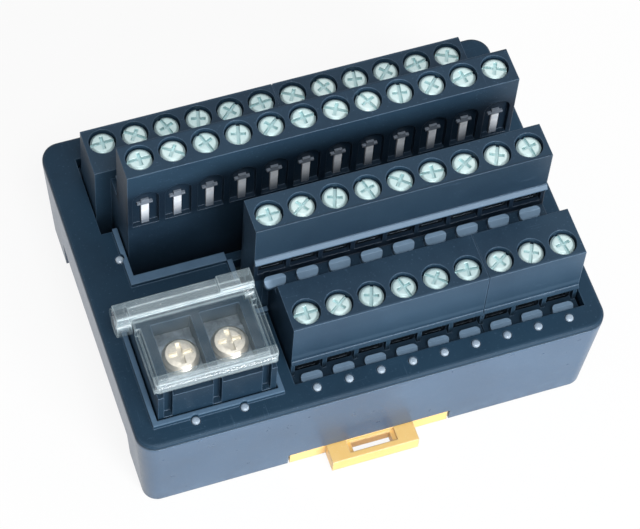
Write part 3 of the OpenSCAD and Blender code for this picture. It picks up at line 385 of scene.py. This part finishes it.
finishes = {
    "lower_case": casePlastic, "upper_case": platePlastic, "circuit_board": boardLaminate,
    "board_screws": zincSteel, "rear_terminal_block": blockPlastic,
    "front_terminal_block": blockPlastic, "power_terminal_block": powerPlastic,
    "power_terminal_plates": plateMetal, "power_nuts": zincSteel, "power_washers": plateMetal,
    "power_screws": zincSteel, "power_cover": clearCover, "din_clip": clipPlastic,
    "front_light_pipes": lensPlastic, "rear_light_pipes": lensPlastic,
    "power_light_pipes": lensPlastic, "power_lamp_pipe": lensPlastic, "indicator_leds": lensPlastic}
for name, material in finishes.items():
    coat(name, material)
for side, rows, count in (("rear", ("lower", "upper"), 12), ("front", ("upper", "lower"), 9)):
    for row in rows:
        coat(f"{side}_{row}_clamps", clampMetal)
        coat(f"{side}_{row}_contacts", tinPlate)
        screws = f"{side}_{row}_screws"
        coat(screws, screwMetal(f"{screws}_plating", screws, dict(screwLook, count=count)))


print("setting the floor, light and camera")

studio = {"key": (0.25, -0.9, 0.32), "top": (-0.05, -0.42, 0.8),
          "floorSize": 4.0, "sky": 0.3, "keyWidth": 0.5, "keyPower": 9.0, "topWidth": 0.35,
          "topPower": 4.5, "floorWhite": 0.88}


def addFloor():
    size = studio["floorSize"]
    mesh = bpy.data.meshes.new("floor")
    corners = [(-size, -size, 0), (size, -size, 0), (size, size, 0), (-size, size, 0)]
    mesh.from_pydata(corners, [], [(0, 1, 2, 3)])
    floor = bpy.data.objects.new("floor", mesh)
    floor.location = (0, 0, floorZ - 0.0002)
    bpy.context.scene.collection.objects.link(floor)
    f = Finish("white_floor")
    camera = f.add("ShaderNodeLightPath", output="Is Camera Ray")
    glossy = f.add("ShaderNodeLightPath", output="Is Glossy Ray")
    through = f.add("ShaderNodeLightPath", output="Is Transmission Ray")
    seen = (camera + glossy + through).cap()
    paper = f.add("ShaderNodeBsdfDiffuse", {}, {"Color": (0.9, 0.9, 0.9, 1)})
    glow = f.add("ShaderNodeEmission", {}, {"Color": (1, 1, 1, 1), "Strength": 1.0})
    mixed = f.add("ShaderNodeMixShader", {}, {0: seen * studio["floorWhite"], 1: paper, 2: glow})
    mesh.materials.append(f.output(mixed))


def addSky():
    world = bpy.data.worlds.new("studio")
    bpy.context.scene.world = world
    world.use_nodes = True
    tree = world.node_tree
    tree.nodes.clear()
    sky = Finish("sky")                         # borrowed for its node method
    bpy.data.materials.remove(sky.material)
    sky.tree = tree
    camera = sky.add("ShaderNodeLightPath", output="Is Camera Ray")
    glossy = sky.add("ShaderNodeLightPath", output="Is Glossy Ray")
    through = sky.add("ShaderNodeLightPath", output="Is Transmission Ray")
    seen = (camera + glossy + through).cap()
    light = sky.add("ShaderNodeBackground", {}, {0: (1, 1, 1, 1), 1: studio["sky"]})
    white = sky.add("ShaderNodeBackground", {}, {0: (1, 1, 1, 1), 1: 1.0})
    mixed = sky.add("ShaderNodeMixShader", {}, {0: seen, 1: light, 2: white})
    sky.material = None
    sky.output(mixed, "ShaderNodeOutputWorld")


def addLamp(name, place, width, power):
    lamp = bpy.data.lights.new(name, "AREA")
    lamp.shape = "DISK"
    lamp.size = width
    lamp.energy = power
    holder = bpy.data.objects.new(name, lamp)
    holder.location = place
    holder.rotation_euler = (Vector((0, 0, 0.01)) - Vector(place)).to_track_quat("-Z", "Y").to_euler()
    bpy.context.scene.collection.objects.link(holder)


# looks down from the front left, rolled a little: angles in radians, distance in metres
view = {"target": (-0.0018, -0.00527, plateTop / 1000), "azimuth": 0.40713, "height": 1.03926,
        "roll": 0.0958, "distance": 0.42973, "lens": 157.35}


def addCamera():
    target = Vector(view["target"])
    azimuth, height, roll = view["azimuth"], view["height"], view["roll"]
    ahead = Vector((math.sin(azimuth) * math.cos(height), math.cos(azimuth) * math.cos(height),
                    -math.sin(height)))
    right = Vector((math.cos(azimuth), -math.sin(azimuth), 0))
    up = right.cross(ahead)
    axisX = right * math.cos(roll) + up * math.sin(roll)
    axisY = up * math.cos(roll) - right * math.sin(roll)
    spin = Matrix((axisX, axisY, -ahead)).transposed().to_4x4()
    data = bpy.data.cameras.new("camera")
    data.lens = view["lens"]
    data.sensor_width = 36
    data.clip_start = 0.01
    camera = bpy.data.objects.new("camera", data)
    camera.matrix_world = Matrix.Translation(target - ahead * view["distance"]) @ spin
    bpy.context.scene.collection.objects.link(camera)
    bpy.context.scene.camera = camera


addFloor()
addSky()
addLamp("key", studio["key"], studio["keyWidth"], studio["keyPower"])
addLamp("top", studio["top"], studio["topWidth"], studio["topPower"])
addCamera()
bpy.context.scene.view_settings.view_transform = "Standard"

bpy.context.view_layer.update()
